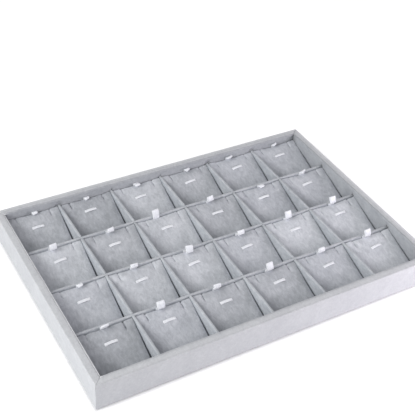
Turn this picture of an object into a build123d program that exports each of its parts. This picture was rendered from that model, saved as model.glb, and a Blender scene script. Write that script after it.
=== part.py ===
from build123d import *
import math
import os

# Necklace display tray, millimetres. The origin is on the surface that the tray stands on,
# below its centre: +X runs along the long side, +Y to the back, where the pads are high, +Z up.
# Velvet-wrapped boards make a mitred box. Slotted liner boards inside it hold a grid of
# cross-halved dividers, and each cell takes a sloped, padded wedge that lifts out by its ribbon.

# Box of four mitred rails on a base board
tray_length = 350.0
tray_depth = 240.0
tray_height = 30.0
rail_thickness = 6.5
rail_edge_radius = 1.0
rabbet_width = 3.0
underside_thickness = 0.6
underside_inset = 4.0
base_thickness = 2.4
lining_thickness = 0.6

# Liner boards and dividers
liner_thickness = 1.5
liner_drop = 0.4
divider_thickness = 2.5
divider_height = 20.0
divider_edge_radius = 0.8
column_count = 6
row_count = 4

# Padded wedges
pad_reveal = 0.6
pad_front_height = 3.6
pad_crown = 1.4
pad_end_crown = 0.85
pad_draw_in = 0.5
pad_edge_radius = 1.6
pad_side_radius = 2.6
pad_side_gap = 0.6
pad_front_gap = 0.4

# Velvet turned over a pad's ends: reach from body to face, then the sides' narrowing and the drop
# of the top, both in edge radii
end_turns = [(0.65, 0.2, 0.25), (1.0, 0.5, 0.7)]

# Slits for the chain at the back edge of a pad
slit_spacing = 35.0
slit_length = 6.5
slit_width = 0.8
slit_depth = 7.0

# Ribbons: a strap that holds the pendant, and a looped tab to lift the pad
ribbon_thickness = 0.35
strap_length = 12.5
strap_width = 2.4
strap_rise = 0.9
strap_tail = 1.4
strap_setback = 14.0
tab_width = 6.8
tab_length = 8.2
tab_loop_radius = 0.9
tab_stem_length = 9.0

# Clearances
glue_gap = 0.05
board_clearance = 0.1
floor_clearance = 0.3
ribbon_clearance = 0.15
tab_back_clearance = 0.45

# Levels and plan sizes that follow from the above
base_bottom = underside_thickness
base_top = base_bottom + base_thickness
floor_top = base_top + lining_thickness
divider_top = floor_top + divider_height
halving_level = floor_top + divider_height / 2
inner_length = tray_length - 2 * rail_thickness
inner_depth = tray_depth - 2 * rail_thickness
grid_length = inner_length - 2 * liner_thickness
grid_depth = inner_depth - 2 * liner_thickness
cell_length = (grid_length - (column_count - 1) * divider_thickness) / column_count
cell_depth = (grid_depth - (row_count - 1) * divider_thickness) / row_count
column_pitch = cell_length + divider_thickness
row_pitch = cell_depth + divider_thickness

tab_thickness = 2 * ribbon_thickness
pad_rear_gap = ribbon_clearance + tab_thickness + tab_back_clearance
pad_width = cell_length - 2 * pad_side_gap
pad_depth = cell_depth - pad_front_gap - pad_rear_gap
pad_bottom = floor_top + floor_clearance
pad_rear_height = divider_top - pad_reveal - pad_bottom
pad_slope = math.degrees(math.atan2(pad_rear_height - pad_front_height, pad_depth))

# How the tabs stand, back row first: f folded forward, h half forward, u upright, b leaning back
# as far as the divider's top lets them. Nothing stands behind the back row but the liner, so its
# tabs are all turned forward.
tab_poses = ["fffhhh", "uububh", "hhbhbb", "ububub"]
tab_back_lean = math.degrees(math.atan2(divider_thickness - tab_loop_radius, tab_length))
tab_leans = {"f": 42.0, "h": 22.0, "u": 2.0, "b": -tab_back_lean}


os.makedirs("parts", exist_ok=True)


def save(node, solids):
    """Write one named piece, or one group of like pieces, to its own file."""
    shape = solids[0] if len(solids) == 1 else Compound(solids)
    export_step(shape, f"parts/{node}.step")


def block(x_range, y_range, z_range):
    """A plain box between two limits on each axis, for boards and for cuts."""
    size = [limits[1] - limits[0] for limits in (x_range, y_range, z_range)]
    centre = [(limits[1] + limits[0]) / 2 for limits in (x_range, y_range, z_range)]
    return Pos(*centre) * Box(*size)


def column_line(index):
    """Middle of a column divider in X, numbered from 1 at the left."""
    return -grid_length / 2 + index * column_pitch - divider_thickness / 2


def row_line(index):
    """Middle of a row divider in Y, numbered from 1 at the back."""
    return grid_depth / 2 - index * row_pitch + divider_thickness / 2


def rail(length):
    """A mitred rail along X whose outer face is at Y = 0, with a rabbet for the base board."""
    section = Polyline(
        (0, base_bottom),
        (rail_thickness - rabbet_width, base_bottom),
        (rail_thickness - rabbet_width, base_top),
        (rail_thickness, base_top),
        (rail_thickness, tray_height),
        (0, tray_height),
        close=True,
    )
    face = make_face(section)
    rim_corners = face.vertices().filter_by(lambda v: abs(v.Y - tray_height) < glue_gap)
    face = fillet(rim_corners, rail_edge_radius)
    bar = extrude(Plane.YZ * face, amount=length / 2, both=True)
    half = length / 2 - glue_gap
    plan = make_face(
        Polyline(
            (-half, 0),
            (half, 0),
            (half - rail_thickness, rail_thickness),
            (-half + rail_thickness, rail_thickness),
            close=True,
        )
    )
    return bar & extrude(plan, amount=tray_height)


def divider(length):
    """A divider board along X with a velvet-rounded top edge, standing on the floor lining."""
    face = make_face(
        Polyline(
            (-divider_thickness / 2, floor_top),
            (divider_thickness / 2, floor_top),
            (divider_thickness / 2, divider_top),
            (-divider_thickness / 2, divider_top),
            close=True,
        )
    )
    top_corners = face.vertices().filter_by(lambda v: abs(v.Y - divider_top) < glue_gap)
    face = fillet(top_corners, divider_edge_radius)
    return extrude(Plane.YZ * face, amount=length / 2, both=True)


def slot_at(position, z_range):
    """The cut that lets a crossing divider through a board that runs along X."""
    half = divider_thickness / 2 + board_clearance
    deep = divider_thickness + liner_thickness
    return block((position - half, position + half), (-deep, deep), z_range)


def liner_board(length, crossings):
    """A liner board along X, slotted from its lower edge for the ends of the dividers."""
    board = block(
        (-length / 2, length / 2),
        (-liner_thickness / 2, liner_thickness / 2),
        (floor_top, tray_height - liner_drop),
    )
    for position in crossings:
        board -= slot_at(position, (floor_top - 1, divider_top + board_clearance))
    return board


def pad_section(y, narrowing, edge_height, crown):
    """One cross-section of a pad: flat below, rounded shoulders and a crowned top."""
    half = pad_width / 2 - narrowing
    radius = min(pad_side_radius, edge_height / 2)
    shoulder = edge_height - radius
    bend = radius * (1 - math.sqrt(0.5))
    outline = [
        Line((-half, 0), (half, 0)),
        Line((half, 0), (half, shoulder)),
        ThreePointArc((half, shoulder), (half - bend, edge_height - bend), (half - radius, edge_height)),
        ThreePointArc((half - radius, edge_height), (0, edge_height + crown), (radius - half, edge_height)),
        ThreePointArc((radius - half, edge_height), (bend - half, edge_height - bend), (-half, shoulder)),
        Line((-half, shoulder), (-half, 0)),
    ]
    return Plane((0, y, 0), x_dir=(1, 0, 0), z_dir=(0, -1, 0)) * make_face(outline)


def slope_height(y):
    """Height of a pad's side edge above its underside, y from the front face."""
    return pad_front_height + (pad_rear_height - pad_front_height) * y / pad_depth


def bow(y):
    """How far along its bow a pad is at y: 1 in the middle, 0 where the rounded ends begin."""
    half_span = pad_depth / 2 - pad_edge_radius
    return 1 - ((y - pad_depth / 2) / half_span) ** 2


def crown_height(y):
    """Height of the crown over the side edges at y, highest in the middle of the pad."""
    return pad_end_crown + (pad_crown - pad_end_crown) * bow(y)


def rounded_end(y_body, y_face, end_crown):
    """The turned-over velvet between the body of a pad and its front or back face."""
    sections = [pad_section(y_body, 0, slope_height(y_body), end_crown)]
    for reach, narrowing, drop in end_turns:
        y = y_body + (y_face - y_body) * reach
        height = slope_height(y) - pad_edge_radius * drop
        sections.append(pad_section(y, pad_edge_radius * narrowing, height, end_crown))
    return loft(sections, ruled=True)


def pad():
    """The velvet-wrapped foam wedge, its front at Y = 0 and its underside at Z = 0."""
    front = pad_edge_radius
    rear = pad_depth - pad_edge_radius
    body = loft(
        [
            pad_section(y, pad_draw_in * bow(y), slope_height(y), crown_height(y))
            for y in (front, pad_depth / 2, rear)
        ]
    )
    body += rounded_end(front, 0, crown_height(front))
    body += rounded_end(rear, pad_depth, crown_height(rear))
    for side in (-1, 1):
        middle = side * slit_spacing / 2
        body -= block(
            (middle - slit_width / 2, middle + slit_width / 2),
            (pad_depth - slit_length, pad_depth + 1),
            (pad_rear_height - slit_depth, pad_rear_height + 2 * pad_crown),
        )
        body -= strap_frame() * strap_slot(side)
    return body


def strap_frame():
    """The place on a pad's crown where the strap lies, tilted with the slope."""
    y = pad_depth - strap_setback
    return Pos(0, y, slope_height(y) + crown_height(y) + ribbon_clearance / 2) * Rot(X=pad_slope)


def strap_slot(side):
    """The short pocket in a pad that takes one end of the strap."""
    middle = side * (strap_length - ribbon_thickness) / 2
    half = ribbon_thickness / 2 + ribbon_clearance
    across = strap_width / 2 + ribbon_clearance
    return block(
        (middle - half, middle + half),
        (-across, across),
        (-strap_tail - ribbon_clearance, strap_rise),
    )


def strap():
    """The arched ribbon that holds a pendant against the pad, with both ends tucked in."""
    outer = strap_length / 2
    inner = outer - ribbon_thickness
    outline = [
        Line((-outer, -strap_tail), (-outer, 0)),
        ThreePointArc((-outer, 0), (0, strap_rise), (outer, 0)),
        Line((outer, 0), (outer, -strap_tail)),
        Line((outer, -strap_tail), (inner, -strap_tail)),
        Line((inner, -strap_tail), (inner, 0)),
        ThreePointArc((inner, 0), (0, strap_rise - ribbon_thickness), (-inner, 0)),
        Line((-inner, 0), (-inner, -strap_tail)),
        Line((-inner, -strap_tail), (-outer, -strap_tail)),
    ]
    band = extrude(Plane.XZ * make_face(outline), amount=strap_width / 2, both=True)
    return strap_frame() * band


def tab(lean):
    """The looped pull tab: a stem glued to the pad's back and a loop that leans forward above it."""
    loop_centre = tab_length - tab_loop_radius - ribbon_thickness / 2
    outer = tab_loop_radius + ribbon_thickness / 2
    inner = tab_loop_radius - ribbon_thickness / 2
    parting = tab_length / 5
    loop_outline = [
        Line((ribbon_thickness, 0), (outer, loop_centre)),
        ThreePointArc((outer, loop_centre), (0, loop_centre + outer), (-outer, loop_centre)),
        Line((-outer, loop_centre), (-ribbon_thickness, 0)),
        Line((-ribbon_thickness, 0), (ribbon_thickness, 0)),
    ]
    eye_outline = [
        Line((0, parting), (inner, loop_centre)),
        ThreePointArc((inner, loop_centre), (0, loop_centre + inner), (-inner, loop_centre)),
        Line((-inner, loop_centre), (0, parting)),
    ]
    loop = Rot(Z=lean) * (make_face(loop_outline) - make_face(eye_outline))
    stem = Pos(0, -tab_stem_length / 2) * Rectangle(tab_thickness, tab_stem_length)
    side = loop + stem + Circle(ribbon_thickness)
    ribbon = extrude(Plane.YZ * side, amount=tab_width / 2, both=True)
    bend_height = divider_top + board_clearance - pad_bottom
    stem_middle = pad_depth + ribbon_clearance + ribbon_thickness
    return Pos(0, stem_middle, bend_height) * ribbon


# Underside sheet, base board and floor lining
sheet_length = tray_length - 2 * underside_inset
sheet_depth = tray_depth - 2 * underside_inset
sheet = Box(sheet_length, sheet_depth, underside_thickness)
save("underside_sheet", [Pos(0, 0, underside_thickness / 2) * sheet])

board_length = inner_length + 2 * (rabbet_width - board_clearance)
board_depth = inner_depth + 2 * (rabbet_width - board_clearance)
board = Box(board_length, board_depth, base_thickness)
save("base_board", [Pos(0, 0, base_bottom + base_thickness / 2) * board])

lining_length = inner_length - 2 * board_clearance
lining_depth = inner_depth - 2 * board_clearance
lining = Box(lining_length, lining_depth, lining_thickness)
save("floor_lining", [Pos(0, 0, base_top + lining_thickness / 2) * lining])

# Rails, wrapped one by one and mitred at the corners
long_rail = rail(tray_length)
short_rail = rail(tray_depth)
save("front_rail", [Pos(0, -tray_depth / 2) * long_rail])
save("back_rail", [Pos(0, tray_depth / 2) * Rot(Z=180) * long_rail])
save("left_rail", [Pos(-tray_length / 2, 0) * Rot(Z=-90) * short_rail])
save("right_rail", [Pos(tray_length / 2, 0) * Rot(Z=90) * short_rail])

# Liner boards, glued to the rails: the long pair runs through, the short pair stands between them
column_lines = [column_line(index) for index in range(1, column_count)]
row_lines = [row_line(index) for index in range(1, row_count)]
long_liner = liner_board(inner_length - 2 * glue_gap, column_lines)
short_liner = liner_board(grid_depth - 2 * glue_gap, row_lines)
long_offset = grid_depth / 2 + liner_thickness / 2
short_offset = grid_length / 2 + liner_thickness / 2
save(
    "liner_boards",
    [
        Pos(0, -long_offset) * long_liner,
        Pos(0, long_offset) * long_liner,
        Pos(-short_offset, 0) * Rot(Z=90) * short_liner,
        Pos(short_offset, 0) * Rot(Z=90) * short_liner,
    ],
)

# Dividers: the row boards are notched from below and run through on top,
# the column boards are notched from above, and all ends pass through the liner's slots
row_divider = divider(inner_length - 2 * board_clearance)
for line in column_lines:
    row_divider -= slot_at(line, (floor_top - 1, halving_level + board_clearance / 2))
for index, line in enumerate(row_lines, start=1):
    save(f"row_divider_{index}", [Pos(0, line) * row_divider])

column_divider = divider(inner_depth - 2 * board_clearance)
for line in row_lines:
    column_divider -= slot_at(line, (halving_level - board_clearance / 2, divider_top + 1))
save("column_dividers", [Pos(line, 0) * Rot(Z=90) * column_divider for line in column_lines])

# Pads with their ribbons, numbered from the back row and from the left
pad_body = pad()
strap_band = strap()
tab_ribbons = {pose: tab(lean) for pose, lean in tab_leans.items()}
for row in range(1, row_count + 1):
    poses = tab_poses[(row - 1) % len(tab_poses)]
    front = grid_depth / 2 - (row - 1) * row_pitch - cell_depth + pad_front_gap
    for column in range(1, column_count + 1):
        middle = -grid_length / 2 + (column - 1) * column_pitch + cell_length / 2
        place = Pos(middle, front, pad_bottom)
        tab_ribbon = tab_ribbons[poses[(column - 1) % len(poses)]]
        save(f"pad_row{row}_col{column}", [place * pad_body])
        save(f"ribbons_row{row}_col{column}", [place * strap_band, place * tab_ribbon])
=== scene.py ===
import math

import bmesh
import bpy
from mathutils import Matrix, Vector, noise


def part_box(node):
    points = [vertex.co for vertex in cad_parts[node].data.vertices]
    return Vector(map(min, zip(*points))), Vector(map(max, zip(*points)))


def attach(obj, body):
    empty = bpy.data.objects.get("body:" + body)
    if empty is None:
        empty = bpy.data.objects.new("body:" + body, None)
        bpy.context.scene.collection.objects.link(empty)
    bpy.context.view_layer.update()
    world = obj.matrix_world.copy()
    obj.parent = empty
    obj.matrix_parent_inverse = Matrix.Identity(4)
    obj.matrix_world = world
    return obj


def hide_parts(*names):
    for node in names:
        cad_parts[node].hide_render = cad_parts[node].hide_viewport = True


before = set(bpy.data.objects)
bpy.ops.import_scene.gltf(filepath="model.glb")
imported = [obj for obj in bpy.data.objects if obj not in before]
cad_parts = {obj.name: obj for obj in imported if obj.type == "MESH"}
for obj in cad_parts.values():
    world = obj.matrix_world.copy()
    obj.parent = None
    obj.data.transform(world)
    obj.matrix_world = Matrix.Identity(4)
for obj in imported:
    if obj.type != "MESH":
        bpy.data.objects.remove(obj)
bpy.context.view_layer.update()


# Underside sheet: pressed felt, cut a little smaller than the tray and glued on last, so that
# the tray slides on a counter without marks. The CAD sheet has the right shape and gets the
# matted look of felt: no sheen, and loose fibres that clump over a few millimetres.

mm = 0.001


def linear(hex_colour):
    """An sRGB hex colour as the linear values that a shader takes."""
    parts = [int(hex_colour[i:i + 2], 16) / 255 for i in (1, 3, 5)]
    return [c / 12.92 if c <= 0.04045 else ((c + 0.055) / 1.055) ** 2.4 for c in parts] + [1.0]


def add_node(tree, kind, settings=None, links=None):
    """Add a node, give its properties and sockets their settings, and link its inputs."""
    node = tree.nodes.new(kind)
    for name, value in (settings or {}).items():
        if isinstance(name, str) and name not in node.inputs:
            setattr(node, name, value)
        else:
            node.inputs[name].default_value = value
    for name, socket in (links or {}).items():
        tree.links.new(socket, node.inputs[name])
    return node


def finish_of(name, surface):
    """A new material with a Principled surface, and its node tree."""
    material = bpy.data.materials.new(name)
    material.use_nodes = True
    tree = material.node_tree
    tree.nodes.clear()
    shader = add_node(tree, "ShaderNodeBsdfPrincipled", surface)
    add_node(tree, "ShaderNodeOutputMaterial", links={"Surface": shader.outputs[0]})
    return material, tree, shader


def dress(piece, material):
    """Give the whole of a piece one material."""
    piece.data.materials.clear()
    piece.data.materials.append(material)


def stops(ramp_node, *colours):
    """Set the stops of a colour ramp: each is a position and a hex colour."""
    ramp = ramp_node.color_ramp
    while len(ramp.elements) < len(colours):
        ramp.elements.new(0.5)
    for element, (position, colour) in zip(ramp.elements, colours):
        element.position = position
        element.color = linear(colour)


felt, tree, shader = finish_of(
    "pressed_felt_grey", {"Roughness": 0.95, "Specular IOR Level": 0.15}
)
place = add_node(tree, "ShaderNodeTexCoord")
clumps = add_node(
    tree,
    "ShaderNodeTexNoise",
    {"Scale": 1 / (3.0 * mm), "Detail": 5.0, "Roughness": 0.7, "Distortion": 1.2},
    {"Vector": place.outputs["Object"]},
)
tone = add_node(tree, "ShaderNodeValToRGB", links={"Fac": clumps.outputs["Fac"]})
stops(tone, (0.32, "#75787e"), (0.68, "#9a9da3"))
matting = add_node(
    tree,
    "ShaderNodeBump",
    {"Strength": 0.6, "Distance": 0.3 * mm},
    {"Height": clumps.outputs["Fac"]},
)
tree.links.new(tone.outputs["Color"], shader.inputs["Base Color"])
tree.links.new(matting.outputs["Normal"], shader.inputs["Normal"])
dress(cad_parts["underside_sheet"], felt)


# Base board: raw hardboard, glued into the rabbet of the rails. It is the brown of pressed wood
# fibre, with darker shives a millimetre or two long.

hardboard, tree, shader = finish_of(
    "hardboard_raw", {"Roughness": 0.8, "Specular IOR Level": 0.3}
)
place = add_node(tree, "ShaderNodeTexCoord")
long_way = add_node(
    tree,
    "ShaderNodeMapping",
    {"Scale": (0.5, 1.0, 1.0)},
    {"Vector": place.outputs["Object"]},
)
shives = add_node(
    tree,
    "ShaderNodeTexNoise",
    {"Scale": 1 / (1.2 * mm), "Detail": 4.0, "Roughness": 0.65},
    {"Vector": long_way.outputs["Vector"]},
)
tone = add_node(tree, "ShaderNodeValToRGB", links={"Fac": shives.outputs["Fac"]})
stops(tone, (0.3, "#6d5138"), (0.52, "#94734f"), (0.72, "#a98a64"))
tree.links.new(tone.outputs["Color"], shader.inputs["Base Color"])
dress(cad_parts["base_board"], hardboard)


# Floor lining: the same short-pile velvet as the rest, laid flat over the base board. It shows
# only in the gaps beside the pads, and in a cell whose pad is lifted out.


def velvet(name, shade, body, light, brushing, sheen):
    """Short-pile velvet. Brushed patches a few centimetres wide lie over streaks of pile that
    leans one way or the other, and over the fine grain of the fibre ends. The pile catches
    light at a low angle, which is the sheen."""
    material, tree, shader = finish_of(
        name,
        {
            "Roughness": 0.9,
            "Specular IOR Level": 0.1,
            "Sheen Weight": sheen,
            "Sheen Roughness": 0.45,
            "Sheen Tint": linear("#f1f2f5"),
        },
    )
    place = add_node(tree, "ShaderNodeTexCoord")
    patches = add_node(
        tree,
        "ShaderNodeTexNoise",
        {"Scale": 1 / (22 * mm), "Detail": 2.0, "Roughness": 0.5, "Distortion": 0.8},
        {"Vector": place.outputs["Object"]},
    )
    laid = add_node(
        tree,
        "ShaderNodeMapping",
        {"Scale": (1.0, 0.45, 1.0), "Rotation": (0.0, 0.0, 0.5)},
        {"Vector": place.outputs["Object"]},
    )
    streaks = add_node(
        tree,
        "ShaderNodeTexNoise",
        {"Scale": 1 / (2.6 * mm), "Detail": 4.0, "Roughness": 0.6, "Distortion": 0.6},
        {"Vector": laid.outputs["Vector"]},
    )
    grain = add_node(
        tree,
        "ShaderNodeTexNoise",
        {"Scale": 1 / (0.7 * mm), "Detail": 2.0, "Roughness": 0.6},
        {"Vector": place.outputs["Object"]},
    )
    brushed = add_node(
        tree,
        "ShaderNodeMix",
        {"data_type": "FLOAT", "Factor": brushing},
        {2: patches.outputs["Fac"], 3: streaks.outputs["Fac"]},
    )
    pile = add_node(
        tree,
        "ShaderNodeMix",
        {"data_type": "FLOAT", "Factor": 0.22},
        {2: brushed.outputs[0], 3: grain.outputs["Fac"]},
    )
    tone = add_node(tree, "ShaderNodeValToRGB", links={"Fac": pile.outputs[0]})
    stops(tone, (0.36, shade), (0.5, body), (0.64, light))
    fibre_ends = add_node(
        tree,
        "ShaderNodeBump",
        {"Strength": 0.45, "Distance": 0.25 * mm},
        {"Height": pile.outputs[0]},
    )
    tree.links.new(tone.outputs["Color"], shader.inputs["Base Color"])
    tree.links.new(fibre_ends.outputs["Normal"], shader.inputs["Normal"])
    return material


floor_velvet = velvet("velvet_short_pile_floor", "#a9acb1", "#b9bcc1", "#c8cace", 0.5, 0.2)
dress(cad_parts["floor_lining"], floor_velvet)


# Rails: four boards of the box, each wrapped in velvet before it is glued up. The wrap softens
# the edges, waves a little over the board, and turns in at the mitres, where a fine line shows.

rail_thickness = 6.5 * mm
rail_bottom = 0.6 * mm
rabbet_width = 3.0 * mm
rabbet_top = 3.0 * mm
rail_top = 30.0 * mm
rim_outer_radius = 0.8 * mm
rim_inner_radius = 0.4 * mm
foot_radius = 0.6 * mm
mitre_radius = 0.5 * mm
mitre_gap = 0.06 * mm
wrap_station = 5.0 * mm
wrap_levels = (6, 11, 16, 21, 26)
wrap_depths = (2.2, 3.3, 4.4)
rail_wave = 0.16 * mm
rail_wave_length = 11 * mm
# The band under a top edge where its painted light and shade and its streaks fade in: none 0.9
# mm down, full from 0.3 mm down
painted_band_start, painted_band_end = 0.9 * mm, 0.3 * mm

rail_velvet = velvet("velvet_short_pile_rails", "#c3c5c9", "#cbcdd0", "#d3d5d8", 0.6, 0.25)


def shade_by(tree, shader, where, strength, towards):
    """Draw a shader's base colour towards another by a strength, as far as a mask says."""
    link = shader.inputs["Base Color"].links[0]
    share = add_node(tree, "ShaderNodeMath", {"operation": "MULTIPLY", 1: strength}, {0: where})
    mix = add_node(
        tree,
        "ShaderNodeMix",
        {"data_type": "RGBA", 7: linear(towards)},
        {0: share.outputs[0], 6: link.from_socket},
    )
    tree.links.new(mix.outputs[2], shader.inputs["Base Color"])


def paint_light_shade_and_streaks(material, top, half_length, half_depth, marks):
    """Paint light and shade on a top edge, lighter or darker, and darken the streaks of its
    pile.
    Each mark fades or grows between two distances inwards from the named sides of the tray, or
    between two values of the streaks."""
    tree = material.node_tree
    shader = next(n for n in tree.nodes if n.type == "BSDF_PRINCIPLED")
    place = add_node(tree, "ShaderNodeTexCoord")
    axes = add_node(tree, "ShaderNodeSeparateXYZ", links={"Vector": place.outputs["Object"]})
    value = {}
    for name, axis, half, way in (
        ("left", "X", half_length, 1),
        ("right", "X", half_length, -1),
        ("front", "Y", half_depth, 1),
        ("back", "Y", half_depth, -1),
    ):
        inset = add_node(
            tree,
            "ShaderNodeMath",
            {"operation": "MULTIPLY_ADD", 1: way, 2: half},
            {0: axes.outputs[axis]},
        )
        value[name] = inset.outputs[0]
    for name, one, other in (
        ("far", "right", "back"),
        ("near", "left", "front"),
        ("all", "near", "far"),
    ):
        nearer = add_node(
            tree, "ShaderNodeMath", {"operation": "MINIMUM"}, {0: value[one], 1: value[other]}
        )
        value[name] = nearer.outputs[0]
    rim = add_node(
        tree,
        "ShaderNodeMapRange",
        {"From Min": top - painted_band_start, "From Max": top - painted_band_end},
        {"Value": axes.outputs["Z"]},
    )
    streaks = add_node(
        tree,
        "ShaderNodeTexNoise",
        {"Scale": 1 / (3.4 * mm), "Detail": 3.0, "Roughness": 0.6, "Distortion": 1.5},
        {"Vector": place.outputs["Object"]},
    )
    value["streaks"] = streaks.outputs["Fac"]
    for name, start, end, at_start, strength, towards in marks:
        mark = add_node(
            tree,
            "ShaderNodeMapRange",
            {"From Min": start, "From Max": end, "To Min": at_start, "To Max": 1 - at_start},
            {"Value": value[name]},
        )
        on_rim = add_node(
            tree,
            "ShaderNodeMath",
            {"operation": "MULTIPLY"},
            {0: rim.outputs[0], 1: mark.outputs[0]},
        )
        shade_by(tree, shader, on_rim.outputs[0], strength, towards)


def to_piece(name, bm, material, body):
    """Turn a bmesh into a smooth-shaded piece that rides on a body."""
    bmesh.ops.remove_doubles(bm, verts=bm.verts, dist=0.001 * mm)
    bmesh.ops.recalc_face_normals(bm, faces=bm.faces)
    for face in bm.faces:
        face.smooth = True
    mesh = bpy.data.meshes.new(name)
    bm.to_mesh(mesh)
    bm.free()
    piece = bpy.data.objects.new(name, mesh)
    bpy.context.scene.collection.objects.link(piece)
    dress(piece, material)
    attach(piece, body)
    return piece


def cut_through(bm, place, across, waste=False):
    """Cut the whole mesh along a plane, and with waste take away what lies past it."""
    cut = bmesh.ops.bisect_plane(
        bm,
        geom=bm.verts[:] + bm.edges[:] + bm.faces[:],
        dist=0.0005 * mm,
        plane_co=place,
        plane_no=across,
        clear_outer=waste,
    )
    if waste:
        rim = [e for e in cut["geom_cut"] if isinstance(e, bmesh.types.BMEdge)]
        bmesh.ops.holes_fill(bm, edges=rim, sides=0)


def soften(bm, edges, radius, segments):
    """Round some edges as a wrap of velvet does."""
    bmesh.ops.bevel(
        bm,
        geom=edges,
        offset=radius,
        offset_type="OFFSET",
        segments=segments,
        profile=0.5,
        affect="EDGES",
        material=-1,
        clamp_overlap=True,
    )


def wave(bm, depth, length, seed):
    """Let the wrap rise and fall a little over its board."""
    bm.normal_update()
    shift = Vector((seed * 3.1, seed * 1.7, seed * 2.3))
    moves = [v.normal * depth * noise.noise(v.co / length + shift) for v in bm.verts]
    for vert, move in zip(bm.verts, moves):
        vert.co += move


def wrapped_rail(name, length, turn, seat, seed):
    """One rail: its section is laid out at one end, drawn out along X, mitred and wrapped."""
    bm = bmesh.new()
    half = length / 2
    section = [
        (0, rail_bottom),
        (rail_thickness - rabbet_width, rail_bottom),
        (rail_thickness - rabbet_width, rabbet_top),
        (rail_thickness, rabbet_top),
        (rail_thickness, rail_top),
        (0, rail_top),
    ]
    end = bm.faces.new([bm.verts.new((-half, y, z)) for y, z in section])
    drawn = bmesh.ops.extrude_face_region(bm, geom=[end])
    moved = [v for v in drawn["geom"] if isinstance(v, bmesh.types.BMVert)]
    bmesh.ops.translate(bm, verts=moved, vec=(length, 0, 0))
    for side in (-1, 1):
        cut_through(bm, (side * (half - mitre_gap), 0, 0), (side, 1, 0), waste=True)
    bmesh.ops.recalc_face_normals(bm, faces=bm.faces)

    def runs_along(edge):
        return abs(edge.verts[0].co.x - edge.verts[1].co.x) > half

    def at_top(edge):
        return edge.verts[0].co.z > rail_top - mm

    def on_outside(edge):
        return edge.verts[0].co.y < mm

    def on_mitre(vert):
        return abs(abs(vert.co.x) + vert.co.y - half) < 0.2 * mm

    top_outer = [e for e in bm.edges if runs_along(e) and at_top(e) and on_outside(e)]
    soften(bm, top_outer, rim_outer_radius, 4)
    top_inner = [
        e for e in bm.edges
        if runs_along(e) and at_top(e) and e.verts[0].co.y > rail_thickness - 1.5 * mm
    ]
    soften(bm, top_inner, rim_inner_radius, 3)
    foot = [e for e in bm.edges if runs_along(e) and e.verts[0].co.z < mm and on_outside(e)]
    soften(bm, foot, foot_radius, 3)
    mitres = [
        e for e in bm.edges
        if not runs_along(e) and len(e.link_faces) == 2 and e.calc_face_angle(0) > 0.6
        and all(on_mitre(v) for v in e.verts)
    ]
    soften(bm, mitres, mitre_radius, 3)
    for step in range(1, int(length / wrap_station)):
        cut_through(bm, (-half + step * wrap_station, 0, 0), (1, 0, 0))
    for level in wrap_levels:
        cut_through(bm, (0, 0, level * mm), (0, 0, 1))
    for depth in wrap_depths:
        cut_through(bm, (0, depth * mm, 0), (0, 1, 0))
    wave(bm, rail_wave, rail_wave_length, seed)
    placed = Matrix.Translation(seat) @ Matrix.Rotation(turn, 4, "Z")
    bmesh.ops.transform(bm, matrix=placed, verts=bm.verts)
    piece = to_piece(name + "_wrap", bm, rail_velvet, "tray")
    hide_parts(name)


front_low, front_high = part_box("front_rail")
left_low, left_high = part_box("left_rail")
tray_length = front_high.x - front_low.x
tray_depth = left_high.y - left_low.y
quarter = math.pi / 2

# Marks on the rim: what they follow, the values between which they change, 1 where they fade out
# and 0 where they grow, their strength, and the colour that they draw towards. The streaks of
# the pile are darker, and the front rim is darker at its outer edge and lighter over its outer
# half. The rest is painted light and shade: a painted sheen along the outer edges of the back
# and right rims, painted shade along the inner edge of every rim, and the left rim painted
# lighter.
rail_light_shade_and_streaks = [
    ("streaks", 0.46, 0.62, 0.0, 0.08, "#000000"),
    ("front", 0.3 * mm, 2.2 * mm, 1.0, 0.16, "#000000"),
    ("front", 3.4 * mm, 6.2 * mm, 1.0, 0.1, "#ffffff"),
    ("far", 0.6 * mm, 3.8 * mm, 1.0, 0.42, "#ffffff"),
    ("all", rail_thickness - 0.6 * mm, rail_thickness - 0.1 * mm, 0.0, 0.06, "#000000"),
    ("left", rail_thickness + 0.5 * mm, rail_thickness + 1.5 * mm, 1.0, 0.08, "#ffffff"),
]
paint_light_shade_and_streaks(rail_velvet, rail_top, tray_length / 2, tray_depth / 2, rail_light_shade_and_streaks)
wrapped_rail("front_rail", tray_length, 0, (0, -tray_depth / 2, 0), 1)
wrapped_rail("back_rail", tray_length, 2 * quarter, (0, tray_depth / 2, 0), 2)
wrapped_rail("left_rail", tray_depth, -quarter, (-tray_length / 2, 0, 0), 3)
wrapped_rail("right_rail", tray_depth, quarter, (tray_length / 2, 0, 0), 4)


# Liner boards: thin card in velvet, glued against the rails a little below the rim, so that a
# double line runs round the inside. Each is slotted from below for the ends of the dividers.

board_thickness = 2.5 * mm
liner_thickness = 1.5 * mm
liner_bottom, liner_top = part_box("liner_boards")[0].z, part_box("liner_boards")[1].z
grid_bottom, divider_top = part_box("row_divider_1")[0].z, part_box("row_divider_1")[1].z
halving_level = (grid_bottom + divider_top) / 2
board_clearance = 0.1 * mm
liner_edge_radius = 0.7 * mm
liner_wave = 0.08 * mm
board_wave_length = 9 * mm
inner_length = tray_length - 2 * rail_thickness
inner_depth = tray_depth - 2 * rail_thickness
grid_length = inner_length - 2 * liner_thickness
grid_depth = inner_depth - 2 * liner_thickness
cell_length = (grid_length - 5 * board_thickness) / 6
cell_depth = (grid_depth - 3 * board_thickness) / 4
column_lines = [
    -grid_length / 2 + index * (cell_length + board_thickness) - board_thickness / 2
    for index in range(1, 6)
]
row_lines = [
    grid_depth / 2 - index * (cell_depth + board_thickness) + board_thickness / 2
    for index in range(1, 4)
]

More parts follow.
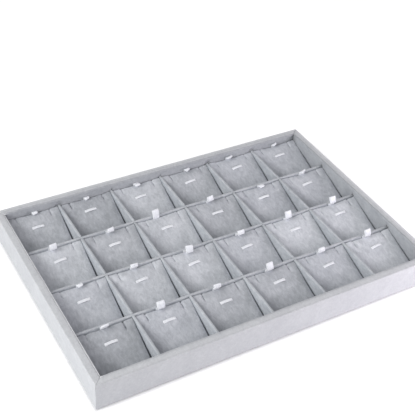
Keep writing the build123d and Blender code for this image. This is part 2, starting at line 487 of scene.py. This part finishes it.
# The liners' velvet is a darker copy of the rails' velvet: painted shade for the inner walls of
# the cells. Their top edges are painted lighter on the left and at the front: painted light.
shaded_liner_velvet = velvet("velvet_short_pile_liners_shaded", "#a6a9ae", "#b2b5b9", "#bec1c4", 0.6, 0.25)
liner_painted_light = [
    ("left", rail_thickness + 1.5 * mm, rail_thickness + 3.0 * mm, 1.0, 0.5, "#ffffff"),
    ("front", rail_thickness + 1.5 * mm, rail_thickness + 3.0 * mm, 1.0, 0.2, "#ffffff"),
]
paint_light_shade_and_streaks(shaded_liner_velvet, liner_top, tray_length / 2, tray_depth / 2, liner_painted_light)


def notched_board(
    length, thickness, bottom, top, crossings, notch_bottom, notch_top, edge_radius
):
    """A card board along X, its outline drawn with its notches, then given its thickness and
    the rounded edges of its wrap. The notches run from one edge to the other level."""
    bm = bmesh.new()
    half = length / 2
    reach = board_thickness / 2 + board_clearance
    from_below = notch_bottom <= bottom
    level = notch_top if from_below else notch_bottom
    notched_edge = bottom if from_below else top
    plain_edge = top if from_below else bottom
    outline = [(-half, plain_edge), (-half, notched_edge)]
    for line in sorted(crossings):
        outline += [(line - reach, notched_edge), (line - reach, level)]
        outline += [(line + reach, level), (line + reach, notched_edge)]
    outline += [(half, notched_edge), (half, plain_edge)]
    front = bm.faces.new([bm.verts.new((x, -thickness / 2, z)) for x, z in outline])
    drawn = bmesh.ops.extrude_face_region(bm, geom=[front])
    moved = [v for v in drawn["geom"] if isinstance(v, bmesh.types.BMVert)]
    bmesh.ops.translate(bm, verts=moved, vec=(0, thickness, 0))
    bmesh.ops.recalc_face_normals(bm, faces=bm.faces)
    upper = [
        e for e in bm.edges
        if all(v.co.z > top - 0.01 * mm for v in e.verts)
        and abs(e.verts[0].co.y - e.verts[1].co.y) < 0.01 * mm
    ]
    soften(bm, upper, edge_radius, 5)
    for step in range(1, int(length / wrap_station)):
        cut_through(bm, (-half + step * wrap_station, 0, 0), (1, 0, 0))
    levels = 4
    for step in range(1, levels):
        cut_through(bm, (0, 0, bottom + (top - bottom) * step / levels), (0, 0, 1))
    return bm


def place_board(bm, turn, seat):
    """Turn a board about the upright and set it in its place."""
    placed = Matrix.Translation(seat) @ Matrix.Rotation(turn, 4, "Z")
    bmesh.ops.transform(bm, matrix=placed, verts=bm.verts)
    return bm


slot_top = divider_top + board_clearance
long_seat = grid_depth / 2 + liner_thickness / 2
short_seat = grid_length / 2 + liner_thickness / 2
liners = [
    ("liner_front", inner_length, column_lines, 0, (0, -long_seat, 0)),
    ("liner_back", inner_length, column_lines, 0, (0, long_seat, 0)),
    ("liner_left", grid_depth, row_lines, quarter, (-short_seat, 0, 0)),
    ("liner_right", grid_depth, row_lines, quarter, (short_seat, 0, 0)),
]
for number, (name, length, crossings, turn, seat) in enumerate(liners):
    bm = notched_board(
        length - board_clearance, liner_thickness, liner_bottom, liner_top, crossings,
        liner_bottom, slot_top, liner_edge_radius,
    )
    wave(bm, liner_wave, board_wave_length, 5 + number)
    bm = place_board(bm, turn, seat)
    piece = to_piece(name, bm, shaded_liner_velvet, "tray")
    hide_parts("liner_boards")


# Dividers: card boards rolled in velvet, so that their top edges are full and round. The row
# boards are notched from below and run through on top; the column boards are notched from above.

divider_edge_radius = 0.85 * mm
divider_wave = 0.14 * mm

divider_velvet = velvet(
    "velvet_short_pile_dividers", "#aaafb4", "#babec3", "#cbcfd2", 0.7, 0.25
)
# The divider tops are painted lighter, a painted highlight, except within a millimetre of the
# tray's sides
divider_top_highlight = [("all", 0.0, mm, 0.0, 0.08, "#ffffff")]
paint_light_shade_and_streaks(divider_velvet, divider_top, tray_length / 2, tray_depth / 2, divider_top_highlight)

for index, line in enumerate(row_lines, start=1):
    bm = notched_board(
        inner_length - 2 * board_clearance, board_thickness, grid_bottom, divider_top,
        column_lines, grid_bottom, halving_level + board_clearance / 2, divider_edge_radius,
    )
    wave(bm, divider_wave, board_wave_length, 10 + index)
    bm = place_board(bm, 0, (0, line, 0))
    piece = to_piece(f"row_divider_wrap_{index}", bm, divider_velvet, "tray")
    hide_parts(f"row_divider_{index}")

for index, line in enumerate(column_lines, start=1):
    bm = notched_board(
        inner_depth - 2 * board_clearance, board_thickness, grid_bottom, divider_top,
        row_lines, halving_level - board_clearance / 2, divider_top, divider_edge_radius,
    )
    wave(bm, divider_wave, board_wave_length, 20 + index)
    bm = place_board(bm, quarter, (line, 0, 0))
    piece = to_piece(
        f"column_divider_wrap_{index}", bm, divider_velvet, "tray"
    )
    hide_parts("column_dividers")


# Pads: foam wedges under stretched velvet, high at the back. The velvet is drawn tight round
# the soft edges and crowns over the foam. Two slits for the chain are cut in the back edge, and
# the velvet is drawn down at them and arches between.

pad_low, pad_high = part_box("pad_row1_col1")
pad_width = pad_high.x - pad_low.x
pad_depth = pad_high.y - pad_low.y
pad_front_height = 3.6 * mm
pad_rear_height = divider_top - 0.6 * mm - pad_low.z
pad_round = 0.9 * mm
pad_foot_round = 0.6 * mm

# How much wider and deeper the velvet is than the bare pad, how far it is shifted back, and the
# share by which it narrows towards the front
velvet_width = 1.1 * mm
velvet_depth = 0.3 * mm
velvet_rearward = 0.75 * mm
narrowing = 0.048

# How far in from the sides it is filled up, by how many millimetres in front and how many more
# at the back, and how its back edge rolls down: by how much, from how far in, over what distance
filled_edge = 11.0 * mm
front_fill, rear_fill = 0.35, 0.5
rear_drop, rear_roll, rear_reach = 1.1 * mm, 3.4 * mm, 4.3 * mm

# The grid of the cloth, and the chain slits: where they lie from the middle, their length and
# depth, their width and that of their lips, how far the lips sag, and how far the mouth draws in
weave_grid = 2.2 * mm
slit_line = 17.5 * mm
slit_length = 6.5 * mm
slit_depth = 5.5 * mm
slit_cut_width = 0.22 * mm
slit_lip_width = 0.7 * mm
slit_sag = 0.9 * mm
slit_mouth = 2.2 * mm

# How far the velvet may swell, how much larger the bench is, and how many steps it settles for
swell_limit = 2.1 * mm
bench = 10.0
settling = 20

# Five lighter and darker copies of one velvet for the pads: partly pile, partly painted light
# and shade
pad_velvets = [
    velvet(f"velvet_short_pile_pads_{number}", *tones, 0.6, 0.25)
    for number, tones in enumerate(
        [
            ("#9fa2a7", "#b2b5ba", "#c4c7cc"),
            ("#a8abb0", "#bbbec3", "#ced0d5"),
            ("#b0b3b9", "#c3c6cc", "#d6d8dd"),
            ("#b7babf", "#cbced3", "#dee0e5"),
            ("#bfc2c8", "#d3d6db", "#e6e8ed"),
        ]
    )
]

# How dark each pad's velvet is, from the darkest shade to the lightest, back row first: partly
# how its pile lies, darkest down the slope, and partly painted light and shade, each pad lighter
# or darker as the lamps reach it more or less
pile_and_light_per_pad = [(1, 0, 3, 1, 2, 2), (3, 1, 3, 1, 2, 2), (2, 3, 3, 2, 4, 4), (0, 2, 1, 1, 2, 4)]


def side_height(y):
    """Height of a pad's side edge over its underside, y from its front."""
    return pad_front_height + (pad_rear_height - pad_front_height) * y / pad_depth


def foam_wedge():
    """The wedge before its velvet is stretched, in a grid that is finer at the slits."""
    bm = bmesh.new()
    bmesh.ops.create_cube(bm, size=1)
    size = (pad_width + velvet_width, pad_depth + velvet_depth, pad_rear_height)
    bmesh.ops.scale(bm, vec=size, verts=bm.verts)
    middle = (0, pad_depth / 2 + velvet_rearward, pad_rear_height / 2)
    bmesh.ops.translate(bm, vec=middle, verts=bm.verts)
    for vert in bm.verts:
        if vert.co.z > mm and vert.co.y < pad_depth / 2:
            vert.co.z = pad_front_height
    upper = [e for e in bm.edges if max(v.co.z for v in e.verts) > mm]
    soften(bm, upper, pad_round, 3)
    lower = [e for e in bm.edges if all(v.co.z < 0.01 * mm for v in e.verts)]
    soften(bm, lower, pad_foot_round, 2)
    across = [
        step * weave_grid for step in range(-10, 11)
        if abs(abs(step * weave_grid) - slit_line) > 1.6 * mm
    ]
    near = (-1.3, -0.45, 0, 0.45, 1.3)
    across += [side * slit_line + step * mm for side in (-1, 1) for step in near]
    for x in across:
        cut_through(bm, (x, 0, 0), (1, 0, 0))
    for step in range(1, 22):
        cut_through(bm, (0, 0.6 * mm + step * weave_grid, 0), (0, 1, 0))
    for level in (3, 5.5, 8, 10.5, 13, 15.5):
        cut_through(bm, (0, 0, level * mm), (0, 0, 1))
    for vert in bm.verts:
        inset = pad_width / 2 + 0.55 * mm - abs(vert.co.x)
        if inset < filled_edge and vert.co.z > mm:
            edge = side_height(vert.co.y)
            fill = (front_fill + rear_fill * vert.co.y / pad_depth) * mm
            vert.co.z += fill * (1 - inset / filled_edge) * min(1, vert.co.z / edge)
        vert.co.x *= 1 - narrowing * (1 - min(1, vert.co.y / pad_depth) ** 1.5)
        if vert.co.z > mm:
            over = max(0, (vert.co.y - pad_depth + rear_roll) / rear_reach)
            vert.co.z -= rear_drop * over ** 2
    bmesh.ops.recalc_face_normals(bm, faces=bm.faces)
    return bm


def stretch_velvet(name, pressure):
    """Blow the velvet up off the foam on a bench ten times as large, where it is held at the
    underside and the slits. Gives its points before and after, and its mesh."""
    bm = foam_wedge()
    bmesh.ops.scale(bm, vec=(bench, bench, bench), verts=bm.verts)
    mesh = bpy.data.meshes.new(name)
    bm.to_mesh(mesh)
    bm.free()
    rest = [v.co.copy() for v in mesh.vertices]
    cover = bpy.data.objects.new(name, mesh)
    bpy.context.scene.collection.objects.link(cover)
    held = []
    for vert in mesh.vertices:
        x, y, z = vert.co / bench
        at_slit = abs(abs(x) - slit_line) < slit_cut_width and y > pad_depth - slit_length
        if z < 0.2 * mm:
            held.append(vert.index)
        elif at_slit and z > pad_rear_height - 7 * mm:
            held.append(vert.index)
            vert.co.z -= slit_sag * bench
    cover.vertex_groups.new(name="held").add(held, 1.0, "REPLACE")
    cloth = cover.modifiers.new("velvet", "CLOTH")
    cloth.settings.quality = 6
    cloth.settings.use_pressure = True
    cloth.settings.uniform_pressure_force = pressure
    cloth.settings.effector_weights.gravity = 0
    cloth.settings.vertex_group_mass = "held"
    cloth.point_cache.frame_start = 1
    cloth.point_cache.frame_end = settling
    cloth.collision_settings.use_collision = False
    for moment in range(1, settling + 1):
        bpy.context.scene.frame_set(moment)
    stretched = cover.evaluated_get(bpy.context.evaluated_depsgraph_get()).to_mesh()
    swollen = [v.co.copy() for v in stretched.vertices]
    bpy.context.scene.frame_set(1)
    bpy.data.objects.remove(cover)
    return rest, swollen, mesh


def cover_of(name, pressure):
    """A stretched cover at its real size. A part of each move is taken back, so that the velvet
    lies on the foam and no point moves further than the swell limit."""
    rest, swollen, mesh = stretch_velvet(name, pressure)
    for vert, start, end in zip(mesh.vertices, rest, swollen):
        move = (end - start) / bench
        if move.length > 1e-9:
            move *= swell_limit / (swell_limit + move.length)
        vert.co = start / bench + move
    return mesh


covers = [cover_of(f"velvet_cover_{index}", 2.0 + 0.9 * index) for index in range(3)]


def slit_cut(co, open_left, open_right):
    """How a point of the cover moves where the chain slits are cut in the back edge: down in
    the slit, a little down at its lips, and forwards at its mouth. A slit whose velvet has
    closed again is shallower."""
    beside = abs(abs(co.x) - slit_line)
    if beside > slit_lip_width:
        return Vector((0, 0, 0))
    into = co.y - (pad_depth - slit_length)
    if into < 0 or co.z < pad_rear_height - slit_depth - mm:
        return Vector((0, 0, 0))
    width = open_left if co.x < 0 else open_right
    if beside > slit_cut_width:
        return Vector((0, 0, -slit_sag * width))
    if co.y > pad_depth - 0.7 * mm:
        return Vector((0, -slit_mouth * width, 0))
    return Vector((0, 0, -slit_depth * width * min(1, 0.35 + into / (4 * mm))))


# How far each pad's slits stand open, left and right, back row first
slit_widths = [
    [(0.4, 0.5), (0.6, 0.6), (0.5, 0.6), (0.5, 0.5), (0.5, 0.6), (0.4, 0.5)],
    [(0.4, 0.6), (0.6, 0.6), (0.5, 0.6), (0.5, 0.6), (0.5, 0.6), (0.5, 0.6)],
    [(0.6, 0.6), (0.7, 0.6), (0.5, 0.6), (0.6, 0.7), (0.6, 0.8), (0.5, 0.9)],
    [(0.5, 1.0), (0.9, 0.8), (0.6, 0.8), (0.6, 0.9), (0.6, 0.8), (0.7, 0.6)],
]

# The length and height of the velvet's gathers and of its slow lumps
pucker_length, pucker_height = 2.6 * mm, 1.0 * mm
lump_length, lump_height = 13 * mm, 0.45 * mm


def pucker(co, shift):
    """The small rise and fall of the velvet where it is gathered at the back and the slits."""
    near_back = max(0, 1 - (pad_depth - co.y) / (9 * mm))
    near_slit = max(0, 1 - abs(abs(co.x) - slit_line) / (8 * mm))
    gathers = noise.noise(co / pucker_length + shift) * pucker_height
    return gathers * near_back * (0.35 + 0.65 * near_slit)


for row in range(1, 5):
    for column in range(1, 7):
        node = f"pad_row{row}_col{column}"
        low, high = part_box(node)
        seed = row * 10 + column
        bm = bmesh.new()
        bm.from_mesh(covers[seed % 3])
        shift = Vector((seed * 2.7, seed * 1.3, 0))
        widths = slit_widths[row - 1][column - 1]
        widths = widths[::-1] if seed % 2 else widths
        for vert in bm.verts:
            move = slit_cut(vert.co, *widths)
            height = vert.co.z / pad_rear_height
            lump = noise.noise(vert.co / lump_length + shift) * lump_height
            lump *= min(1, height * 3)
            vert.co += move + Vector((0, 0, lump + pucker(vert.co, shift)))
        if seed % 2:
            bmesh.ops.scale(bm, vec=(-1, 1, 1), verts=bm.verts)
            bmesh.ops.reverse_faces(bm, faces=bm.faces)
        seat = Vector(((low.x + high.x) / 2, low.y, low.z))
        bmesh.ops.translate(bm, vec=seat, verts=bm.verts)
        toned_velvet = pad_velvets[pile_and_light_per_pad[row - 1][column - 1]]
        piece = to_piece(f"{node}_cover", bm, toned_velvet, node)
        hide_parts(node)
        soft = piece.modifiers.new("soft", "SUBSURF")
        soft.levels = soft.render_levels = 1


# Straps and tabs: white single-face satin ribbon. A strap is a short piece whose two ends are
# tucked into the pad, and it arches so that a pendant's bail can hang on it. A tab is a folded
# loop glued to the back of the pad; each one stands or leans as it was last left.


def satin(name, along):
    """Polyester satin ribbon: a close weave whose threads run along the ribbon, a tenth of a
    millimetre apart, drawn three times as coarse so that they show as fine lines."""
    material, tree, shader = finish_of(
        name,
        {
            "Roughness": 0.38,
            "Specular IOR Level": 0.5,
            "Sheen Weight": 0.2,
            "Sheen Roughness": 0.4,
            "Subsurface Weight": 0.5,
            "Subsurface Scale": 1.0 * mm,
            "Subsurface Radius": (1.0, 1.0, 1.0),
            # A faint white glow: painted light that brightens the ribbon's shaded faces
            "Emission Color": linear("#ffffff"),
            "Emission Strength": 0.1,
        },
    )
    place = add_node(tree, "ShaderNodeTexCoord")
    laid = add_node(
        tree, "ShaderNodeMapping", {"Scale": along}, {"Vector": place.outputs["Object"]}
    )
    threads = add_node(
        tree,
        "ShaderNodeTexNoise",
        {"Scale": 1 / (0.3 * mm), "Detail": 2.0, "Roughness": 0.5},
        {"Vector": laid.outputs["Vector"]},
    )
    tone = add_node(tree, "ShaderNodeValToRGB", links={"Fac": threads.outputs["Fac"]})
    stops(tone, (0.3, "#dcdfe6"), (0.7, "#f3f5fa"))
    lines = add_node(
        tree,
        "ShaderNodeBump",
        {"Strength": 0.25, "Distance": 0.05 * mm},
        {"Height": threads.outputs["Fac"]},
    )
    tree.links.new(tone.outputs["Color"], shader.inputs["Base Color"])
    tree.links.new(lines.outputs["Normal"], shader.inputs["Normal"])
    return material


ribbon_thickness = 0.35 * mm
strap_length = 12.5 * mm
strap_width = 2.7 * mm
strap_rise = 0.75 * mm
strap_tuck = 1.6 * mm
strap_setback = 15.6 * mm
strap_lift = 1.3 * mm
tab_width = 6.8 * mm
curled_tab_width = 5.0 * mm
curled_lean = 50
tab_loop_radius = 0.9 * mm
open_loop_radius = 1.6 * mm
tab_stem = 8.0 * mm
tab_standoff = 0.05 * mm
tab_gap = 0.5 * mm
tab_hem = 1.6 * mm

strap_satin = satin("satin_ribbon_strap", (0.06, 1.0, 1.0))
tab_satin = satin("satin_ribbon_tab", (1.0, 0.06, 0.06))

# Each strap's place on its pad: to the right of the middle and towards the front, in
# millimetres, back row first
strap_places = [
    [(-0.7, 2.1), (-1.2, 0.0), (-2.7, 1.0), (-1.0, 0.2), (0.6, -0.7), (-0.9, -0.6)],
    [(-0.1, -0.1), (-0.8, 0.4), (-0.8, -0.3), (-0.7, 0.4), (-0.8, -0.8), (-2.7, -1.0)],
    [(-1.2, 1.0), (0.2, -0.7), (-1.9, -0.2), (-0.6, 0.6), (-0.1, -0.5), (-0.6, -1.7)],
    [(-0.6, 0.0), (-0.7, -1.3), (-0.6, 0.0), (0.6, -0.8), (-0.4, 0.2), (1.3, -1.5)],
]

# Each tab's place along the pad's back edge from its middle, its lean in degrees, towards the
# front or, below 0, the back, how far it stands over the divider, how far it is drawn over the
# pad's edge, and its twist at the tip in degrees, back row first. One that is bent far over
# curls across its width and looks narrower.
tab_stands = [
    [
        (1.9, 72, 3.2, 1.0, 16),
        (0.4, 72, 3.0, 0.8, 24),
        (-0.4, 66, 3.8, 2.2, 6),
        (2.3, 63, 4.0, 0.4, 30),
        (-1.8, 50, 3.8, 0.5, 23),
        (0.0, 55, 3.8, -0.3, 31),
    ],
    [
        (-2.1, -21, 7.4, 6.0, 6),
        (0.1, -17, 5.6, 5.0, 14),
        (-5.4, -24, 6.9, 0.2, 8),
        (-1.9, -22, 6.9, 4.3, 10),
        (2.6, 62, 5.0, 1.0, 8),
        (-0.4, 44, 4.6, -0.7, 32),
    ],
    [
        (0.8, 58, 5.0, 0.2, 18),
        (-1.2, -20, 4.8, 2.8, -4),
        (-1.9, -22, 8.6, 7.0, -10),
        (-0.8, -22, 6.3, 5.8, 2),
        (-0.9, -21, 9.0, 4.0, 2),
        (-2.0, -24, 8.6, 3.2, 0),
    ],
    [
        (-0.3, 17, 4.8, 1.8, 6),
        (-3.1, -22, 8.6, 4.2, 0),
        (-2.1, -21, 5.2, 3.0, -3),
        (-2.2, -23, 8.8, 3.6, 6),
        (-0.2, -22, 6.0, 3.9, 4),
        (-1.6, -21, 8.6, 4.0, 5),
    ],
]


def ribbon_piece(name, bm, material, body):
    """A strip of ribbon, given its thickness and ridden on its pad."""
    bmesh.ops.recalc_face_normals(bm, faces=bm.faces)
    piece = to_piece(name, bm, material, body)
    thick = piece.modifiers.new("thickness", "SOLIDIFY")
    thick.thickness = ribbon_thickness
    thick.offset = 0
    return piece


def strap(seat, slope, seed):
    """A strap: one end line is spun over the arch and its ends are drawn down into the pad."""
    bm = bmesh.new()
    half = strap_length / 2 - ribbon_thickness / 2
    radius = (half * half + strap_rise * strap_rise) / (2 * strap_rise)
    opening = math.asin(half / radius)
    start = [bm.verts.new((-half, y, 0)) for y in (-strap_width / 2, 0, strap_width / 2)]
    line = [bm.edges.new(start[:2]), bm.edges.new(start[1:])]
    spun = bmesh.ops.spin(
        bm, geom=start + line, cent=(0, 0, strap_rise - radius), axis=(0, 1, 0),
        angle=2 * opening, steps=16, use_merge=False, use_duplicate=False,
    )
    last = [e for e in spun["geom_last"] if isinstance(e, bmesh.types.BMEdge)]
    for end_line in (line, last):
        tucked = bmesh.ops.extrude_edge_only(bm, edges=end_line)
        moved = [v for v in tucked["geom"] if isinstance(v, bmesh.types.BMVert)]
        bmesh.ops.translate(bm, verts=moved, vec=(0, 0, -strap_tuck))
    lean = Matrix.Rotation(slope, 4, "X")
    skew = Matrix.Rotation(math.radians(2.8 + 2.5 * math.sin(seed)), 4, "Z")
    bmesh.ops.transform(bm, matrix=Matrix.Translation(seat) @ lean @ skew, verts=bm.verts)
    return bm


def draw_out(bm, edges, move):
    """Extrude a line of edges by a move, and give its new points and edges."""
    grown = bmesh.ops.extrude_edge_only(bm, edges=edges)
    verts = [v for v in grown["geom"] if isinstance(v, bmesh.types.BMVert)]
    bmesh.ops.translate(bm, verts=verts, vec=move)
    new_edges = [e for e in grown["geom"] if isinstance(e, bmesh.types.BMEdge)]
    return verts, [e for e in new_edges if all(v in verts for v in e.verts)]


def tab(width, length, loop_radius, lean, drawn_over, twist, seat):
    """A tab: one end line runs up the stem, is spun round the loop and runs down again. Above
    the pad it leans, more towards its tip, as a ribbon that has taken a set, and is drawn
    forwards over the pad's soft edge."""
    bm = bmesh.new()
    centre = length - loop_radius
    front = -ribbon_thickness / 2 - tab_standoff
    start = [
        bm.verts.new((width * share, front, -tab_stem)) for share in (-0.5, -0.25, 0, 0.25, 0.5)
    ]
    line = [bm.edges.new(pair) for pair in zip(start, start[1:])]
    verts, line = draw_out(bm, line, (0, 0, tab_stem))
    shares = 5
    swell = (loop_radius + front) / shares
    for _ in range(shares):
        verts, line = draw_out(bm, line, (0, -swell, centre / shares))
    spun = bmesh.ops.spin(
        bm, geom=verts + line, cent=(0, 0, centre), axis=(-1, 0, 0), angle=math.pi, steps=10,
        use_merge=False, use_duplicate=False,
    )
    line = [e for e in spun["geom_last"] if isinstance(e, bmesh.types.BMEdge)]
    for _ in range(shares):
        verts, line = draw_out(bm, line, (0, -swell, -centre / shares))
    draw_out(bm, line, (0, 0, -tab_stem))
    for _ in range(3):
        bmesh.ops.smooth_vert(
            bm, verts=[v for v in bm.verts if v.co.z > 0.5 * mm], factor=0.5,
            use_axis_x=False, use_axis_y=True, use_axis_z=True,
        )
    for vert in bm.verts:
        if vert.co.z > 0:
            share = vert.co.z / length
            bend = Matrix.Rotation(lean * (0.75 + 0.35 * share), 3, "X")
            turned = bend @ Vector((0, vert.co.y, vert.co.z))
            swung = twist * share
            pulled = drawn_over * min(1, vert.co.z / tab_hem)
            vert.co = Vector((
                vert.co.x * math.cos(swung) - turned.y * math.sin(swung) * 0.3,
                turned.y + vert.co.x * math.sin(swung) - pulled,
                turned.z,
            ))
    bmesh.ops.translate(bm, vec=seat, verts=bm.verts)
    return bm


slope = math.atan2(pad_rear_height - pad_front_height, pad_depth)
for row in range(1, 5):
    for column in range(1, 7):
        node = f"ribbons_row{row}_col{column}"
        body = f"pad_row{row}_col{column}"
        low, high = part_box(body)
        seed = row * 10 + column
        middle = (low.x + high.x) / 2
        across, forward = strap_places[row - 1][column - 1]
        strap_y = pad_depth - strap_setback - forward * mm
        strap_seat = (
            middle + across * mm,
            low.y + strap_y,
            low.z + side_height(strap_y) + strap_lift,
        )
        bm = strap(strap_seat, slope, seed)
        piece = ribbon_piece(f"strap_row{row}_col{column}", bm, strap_satin, body)
        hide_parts(node)
        offset, lean, length, drawn_over, twist = tab_stands[row - 1][column - 1]
        tab_seat = (
            middle + offset * mm,
            low.y + pad_depth + tab_gap,
            divider_top + board_clearance,
        )
        bm = tab(
            curled_tab_width if lean > curled_lean else tab_width,
            length * mm,
            open_loop_radius if (row, column) == (4, 2) else tab_loop_radius,
            math.radians(lean),
            drawn_over * mm,
            math.radians(twist),
            tab_seat,
        )
        piece = ribbon_piece(f"tab_row{row}_col{column}", bm, tab_satin, body)
        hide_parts(node)


# Stand: a plain white painted table that sends light up to the walls. It glows for the camera
# alone, so that it reads as a white background. Its glow fades towards the tray's foot, which
# paints a faint shadow round the tray over its real contact shadow.

table_size = 1.1
table_glow = 0.5
foot_glow = 0.02
painted_foot_shadow = 5.0 * mm


def looked_at(tree):
    """1 for the rays that show a background, straight, mirrored or through glass, else 0."""
    rays = add_node(tree, "ShaderNodeLightPath")
    direct = add_node(
        tree,
        "ShaderNodeMath",
        {"operation": "MAXIMUM"},
        {0: rays.outputs["Is Camera Ray"], 1: rays.outputs["Is Glossy Ray"]},
    )
    shown = add_node(
        tree,
        "ShaderNodeMath",
        {"operation": "MAXIMUM"},
        {0: direct.outputs[0], 1: rays.outputs["Is Transmission Ray"]},
    )
    return shown.outputs[0]


bm = bmesh.new()
bmesh.ops.create_grid(bm, x_segments=1, y_segments=1, size=table_size)
mesh = bpy.data.meshes.new("table")
bm.to_mesh(mesh)
bm.free()
table = bpy.data.objects.new("table", mesh)
bpy.context.scene.collection.objects.link(table)
material = bpy.data.materials.new("table_white")
material.use_nodes = True
tree = material.node_tree
tree.nodes.clear()
paint = add_node(tree, "ShaderNodeBsdfDiffuse", {"Color": linear("#f6f6f6")})
place = add_node(tree, "ShaderNodeTexCoord")
axes = add_node(tree, "ShaderNodeSeparateXYZ", links={"Vector": place.outputs["Object"]})
beyond = []
for axis, half in (("X", tray_length / 2), ("Y", tray_depth / 2)):
    off = add_node(tree, "ShaderNodeMath", {"operation": "ABSOLUTE"}, {0: axes.outputs[axis]})
    past = add_node(
        tree, "ShaderNodeMath", {"operation": "SUBTRACT", 1: half}, {0: off.outputs[0]}
    )
    beyond.append(past.outputs[0])
away = add_node(
    tree, "ShaderNodeMath", {"operation": "MAXIMUM"}, {0: beyond[0], 1: beyond[1]}
)
# The glow falls almost to nothing at the tray's foot: a painted shadow round the tray
lift = add_node(
    tree,
    "ShaderNodeMapRange",
    {"From Min": 0.0, "From Max": painted_foot_shadow, "To Min": foot_glow, "To Max": table_glow},
    {"Value": away.outputs[0]},
)
glow = add_node(
    tree, "ShaderNodeEmission", {"Color": linear("#ffffff")}, {"Strength": lift.outputs[0]}
)
lit = add_node(tree, "ShaderNodeAddShader", links={0: paint.outputs[0], 1: glow.outputs[0]})
seen_table = add_node(
    tree,
    "ShaderNodeMixShader",
    links={0: looked_at(tree), 1: paint.outputs[0], 2: lit.outputs[0]},
)
add_node(tree, "ShaderNodeOutputMaterial", links={"Surface": seen_table.outputs[0]})
dress(table, material)


# Light: a dim white tent all round, two large soft lamps on the left, and a small low one on
# the right that fills the front wall. Past the table, rays that show a background see white.

world = bpy.data.worlds.new("tent")
bpy.context.scene.world = world
world.use_nodes = True
tree = world.node_tree
tree.nodes.clear()
tent = add_node(tree, "ShaderNodeBackground", {"Color": linear("#f8f8fa"), "Strength": 0.47})
plain = add_node(tree, "ShaderNodeBackground", {"Color": linear("#ffffff"), "Strength": 1.0})
mixed = add_node(
    tree,
    "ShaderNodeMixShader",
    links={0: looked_at(tree), 1: tent.outputs[0], 2: plain.outputs[0]},
)
add_node(tree, "ShaderNodeOutputWorld", links={"Surface": mixed.outputs[0]})


def soft_lamp(name, place, aim, size, watts, tint=(1.0, 1.0, 1.0)):
    """A square softbox that faces a point."""
    lamp = bpy.data.lights.new(name, "AREA")
    lamp.shape = "SQUARE"
    lamp.size = size
    lamp.energy = watts
    lamp.color = tint
    holder = bpy.data.objects.new(name, lamp)
    bpy.context.scene.collection.objects.link(holder)
    holder.location = place
    holder.rotation_euler = (Vector(aim) - Vector(place)).to_track_quat("-Z", "Y").to_euler()
    return holder


lit_point = (0, 0, 20 * mm)
soft_lamp("lamp_left_high", (-1.147, 0, 0.823), lit_point, 0.6, 7.41)
soft_lamp("lamp_left_low", (-1.177, -0.549, 0.544), lit_point, 0.6, 4.68)
soft_lamp("lamp_right", (0.453, -0.380, 0.124), lit_point, 0.3, 2.06, (1.0, 0.93, 1.01))


# Camera: the photograph's viewpoint, fitted to the rim, the mitres and the divider lines.

camera = bpy.data.cameras.new("camera")
camera.sensor_width = 36.0
camera.lens = 77.371
view = bpy.data.objects.new("camera", camera)
bpy.context.scene.collection.objects.link(view)
azimuth, elevation, roll = (math.radians(a) for a in (32.118, 38.507, 4.413))
view.matrix_world = (
    Matrix.Translation((-352.037 * mm, -546.424 * mm, 579.243 * mm))
    @ Matrix.Rotation(-azimuth, 4, "Z")
    @ Matrix.Rotation(quarter - elevation, 4, "X")
    @ Matrix.Rotation(roll, 4, "Z")
)
bpy.context.scene.camera = view
bpy.context.scene.view_settings.view_transform = "Standard"
